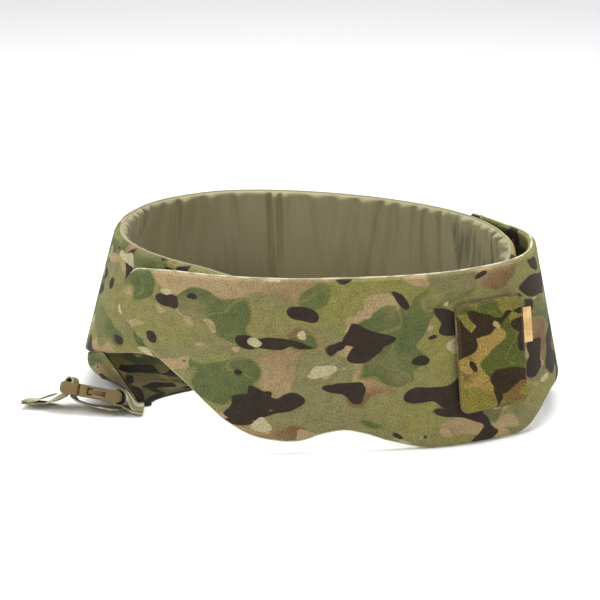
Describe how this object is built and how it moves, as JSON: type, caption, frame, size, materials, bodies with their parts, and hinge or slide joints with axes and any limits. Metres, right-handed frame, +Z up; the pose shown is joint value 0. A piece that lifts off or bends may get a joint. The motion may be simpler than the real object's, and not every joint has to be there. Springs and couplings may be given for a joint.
{
  "type": "padded waist wrap",
  "caption": "Flared padded waist wrap with an overlapping hook-and-loop front panel, a tail tucked under it and a side-release buckle strap.",
  "frame": {"origin": "middle of the footprint on the floor", "axes": "+Z up along the wrap's height, +X to the wearer-facing view's right along the longest side, -Y towards the front panel"},
  "size_m": [0.5354, 0.3874, 0.1673],
  "materials": {
    "camo_fabric": null,
    "lining": "smooth olive lining fabric, slight sheen",
    "foam": "closed-cell foam sheet inside the covers",
    "touch_tape": "hook-and-loop tape, olive",
    "patch_pile": null,
    "label": "plain woven side label",
    "webbing": "woven nylon webbing, pale camouflage print",
    "buckle": "moulded coyote-brown acetal"
  },
  "bodies": {
    "wrap": {"body_cover": "camo_fabric", "body_padding": "foam", "lining_left_gathered": "lining", "lining_back": "lining", "lining_right_gathered": "lining", "body_rim_binding": "lining", "body_hem_binding": "camo_fabric", "left_loop_field": "touch_tape", "right_loop_field": "touch_tape", "panel_fixed_end": "camo_fabric", "right_hook_field": "touch_tape", "tail_panel": "camo_fabric", "tail_hem_casing": "camo_fabric"},
    "front_panel": {"panel_inner_face": "camo_fabric", "panel_padding": "foam", "panel_cover": "camo_fabric", "left_hook_field": "touch_tape", "panel_binding": "camo_fabric", "patch_backing": "touch_tape", "patch_loop_pile": "patch_pile", "side_label": "label"},
    "strap": {"anchor_webbing": "webbing", "buckle_socket": "buckle"},
    "plug": {"buckle_plug": "buckle", "adjusting_strap": "webbing", "strap_folded_end": "webbing"},
    "near_arm": {"latch_arm_near": "buckle"},
    "far_arm": {"latch_arm_far": "buckle"}
  },
  "joints": [
    {"name": "front_panel_open", "type": "hinge", "parent": "wrap", "child": "front_panel", "pos_m": [0.24546, 0.03759, 0.0302], "axis": [-0.1961, -0.0843, 0.977], "range_deg": [0, 100]},
    {"name": "strap_swing", "type": "hinge", "parent": "wrap", "child": "strap", "pos_m": [-0.14534, -0.07758, 0.0046], "axis": [0, 0, 1], "range_deg": [0, 60]},
    {"name": "plug_release", "type": "slide", "parent": "strap", "child": "plug", "axis": [-0.9806, 0.1378, 0.1392], "range_m": [0, 0.0012], "stiffness_N_per_m": 400},
    {"name": "near_arm_pinch", "type": "hinge", "parent": "plug", "child": "near_arm", "pos_m": [-0.21116, -0.07851, 0.02427], "axis": [0.1799, 0.353, 0.9182], "range_deg": [0, 9.5]},
    {"name": "far_arm_pinch", "type": "hinge", "parent": "plug", "child": "far_arm", "pos_m": [-0.20935, -0.05686, 0.01559], "axis": [0.1799, 0.353, 0.9182], "range_deg": [-9.5, 0]}
  ],
  "couplings": [
    {"joint": "near_arm_pinch", "follows": "plug_release", "rad_per_m": 136},
    {"joint": "far_arm_pinch", "follows": "plug_release", "rad_per_m": -136}
  ]
}
